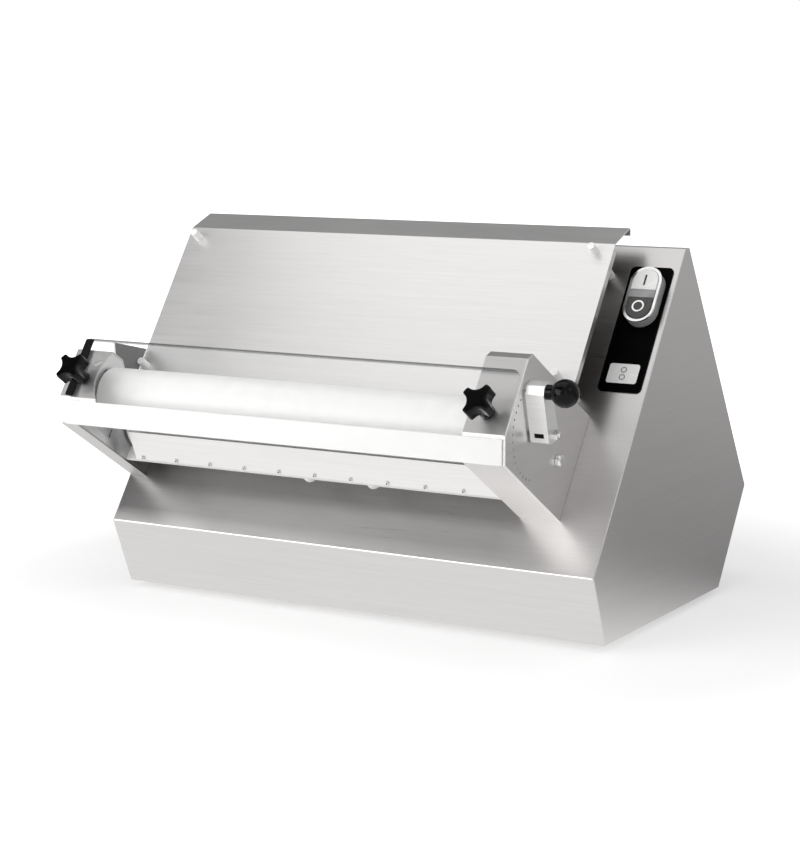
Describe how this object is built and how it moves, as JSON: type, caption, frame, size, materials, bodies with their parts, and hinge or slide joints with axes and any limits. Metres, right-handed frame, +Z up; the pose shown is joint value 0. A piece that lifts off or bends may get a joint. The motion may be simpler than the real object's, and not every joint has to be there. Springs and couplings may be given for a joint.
{
  "type": "dough sheeter",
  "caption": "Bench-top dough sheeter: wedge-shaped stainless body, sloping feed chute, geared roller pair under a clear guard, thickness lever and start-stop switch.",
  "frame": {"origin": "floor level under the feet, below the middle of the machine's overall width and depth", "axes": "+X to the operator's right along the rollers, +Y to the back, +Z up"},
  "size_m": [0.6315, 0.5439, 0.4403],
  "materials": {
    "brushed_steel": "brushed stainless sheet",
    "plate_aluminium": "satin machined plate",
    "bright_steel": "bright turned or plated steel",
    "white_enamel": "white gloss enamel",
    "white_nylon": "satin food-grade nylon",
    "black_gloss": "glossy black plastic",
    "black_panel": "glossy black laminate",
    "clear_sheet": "clear polycarbonate",
    "white_button": "white key plastic",
    "lens_grey": "smoked indicator lens",
    "silver_trim": "satin chromed ring",
    "rubber": "black rubber",
    "bronze": "sintered bronze",
    "motor_grey": "grey cast housing paint",
    "grey_plastic": "grey moulded plastic"
  },
  "bodies": {
    "casing": {"front_casing": "brushed_steel", "left_side_panel": "brushed_steel", "right_side_panel": "brushed_steel", "rear_cover": "brushed_steel", "base_plate": "brushed_steel", "feet": "rubber", "hex_bolts": "bright_steel", "panel_screws": "bright_steel", "left_frame_plate": "plate_aluminium", "right_frame_plate": "plate_aluminium", "left_head_cover": "brushed_steel", "right_head_cover": "brushed_steel", "left_end_plate": "brushed_steel", "index_plate": "brushed_steel", "front_strip": "white_enamel", "scraper_panel": "brushed_steel", "scraper_screws": "bright_steel", "rear_scraper_blade": "white_nylon", "panel_discs": "white_nylon", "rear_bushes": "bronze", "chute_plate": "brushed_steel", "chute_standoffs": "white_nylon", "control_plate": "black_panel", "switch_body": "black_gloss", "switch_ring": "silver_trim", "indicator_lens": "lens_grey", "contact_block": "grey_plastic", "motor_housing": "motor_grey", "fan_cover": "motor_grey", "gearbox": "motor_grey", "motor_bracket": "plate_aluminium", "drive_belt": "rubber", "contactor": "grey_plastic", "cable_gland": "grey_plastic", "guard_switch": "black_gloss"},
    "bearing_carriage": {"left_bearing_block": "plate_aluminium", "right_bearing_block": "plate_aluminium", "front_bushes": "bronze", "front_scraper": "white_nylon"},
    "front_roller_set": {"front_roller": "white_nylon", "front_axle": "bright_steel", "front_gear": "white_nylon"},
    "rear_roller_set": {"rear_roller": "white_nylon", "rear_axle": "bright_steel", "rear_gear": "white_nylon", "roller_pulley": "plate_aluminium"},
    "lever": {"lever_bracket": "bright_steel", "lever_shaft": "bright_steel", "scroll_cam": "bright_steel"},
    "index_plunger": {"index_knob": "black_gloss", "index_pin": "bright_steel"},
    "guard": {"guard": "clear_sheet"},
    "left_knob": {"left_star_knob": "black_gloss"},
    "right_knob": {"right_star_knob": "black_gloss"},
    "start_key": {"start_button": "white_button"},
    "stop_key": {"stop_button": "black_gloss"},
    "rotor": {"motor_rotor": "bright_steel", "cooling_fan": "grey_plastic"},
    "drive_shaft": {"gearbox_shaft": "bright_steel", "motor_pulley": "plate_aluminium"}
  },
  "joints": [
    {"name": "guard_lift", "type": "slide", "parent": "casing", "child": "guard", "axis": [0, -0.821, 0.5709], "range_m": [0, 0.08]},
    {"name": "left_knob_turn", "type": "hinge", "parent": "guard", "child": "left_knob", "pos_m": [-0.289, -0.24456, 0.2735], "axis": [0, -0.821, 0.5709], "continuous": true},
    {"name": "right_knob_turn", "type": "hinge", "parent": "guard", "child": "right_knob", "pos_m": [0.232, -0.24456, 0.2735], "axis": [0, -0.821, 0.5709], "continuous": true},
    {"name": "lever_turn", "type": "hinge", "parent": "casing", "child": "lever", "pos_m": [0.258, -0.18138, 0.24175], "axis": [1, 0, 0], "range_deg": [-18, 144]},
    {"name": "carriage_slide", "type": "slide", "parent": "casing", "child": "bearing_carriage", "axis": [0, -0.821, 0.5709], "range_m": [-0.0004, 0.0032]},
    {"name": "index_pull", "type": "slide", "parent": "lever", "child": "index_plunger", "axis": [1, 0, 0], "range_m": [0, 0.006], "stiffness_N_per_m": 700, "springref_m": -0.004},
    {"name": "rear_roller_spin", "type": "hinge", "parent": "casing", "child": "rear_roller_set", "pos_m": [0, -0.12719, 0.20407], "axis": [1, 0, 0], "continuous": true},
    {"name": "front_roller_spin", "type": "hinge", "parent": "bearing_carriage", "child": "front_roller_set", "pos_m": [0, -0.18138, 0.24175], "axis": [1, 0, 0], "continuous": true},
    {"name": "drive_shaft_spin", "type": "hinge", "parent": "casing", "child": "drive_shaft", "pos_m": [0.2, 0.0206, 0.10132], "axis": [1, 0, 0], "continuous": true},
    {"name": "rotor_spin", "type": "hinge", "parent": "casing", "child": "rotor", "pos_m": [0.04, 0.0206, 0.10132], "axis": [1, 0, 0], "continuous": true},
    {"name": "start_press", "type": "slide", "parent": "casing", "child": "start_key", "axis": [0, 0.821, -0.5709], "range_m": [0, 0.003], "stiffness_N_per_m": 500, "springref_m": -0.002},
    {"name": "stop_press", "type": "slide", "parent": "casing", "child": "stop_key", "axis": [0, 0.821, -0.5709], "range_m": [0, 0.003], "stiffness_N_per_m": 500, "springref_m": -0.002}
  ],
  "couplings": [
    {"joint": "lever_turn", "follows": "carriage_slide", "rad_per_m": 785.4},
    {"joint": "front_roller_spin", "follows": "rear_roller_spin", "ratio": -1},
    {"joint": "drive_shaft_spin", "follows": "rear_roller_spin", "ratio": 1},
    {"joint": "rotor_spin", "follows": "rear_roller_spin", "ratio": 10}
  ]
}
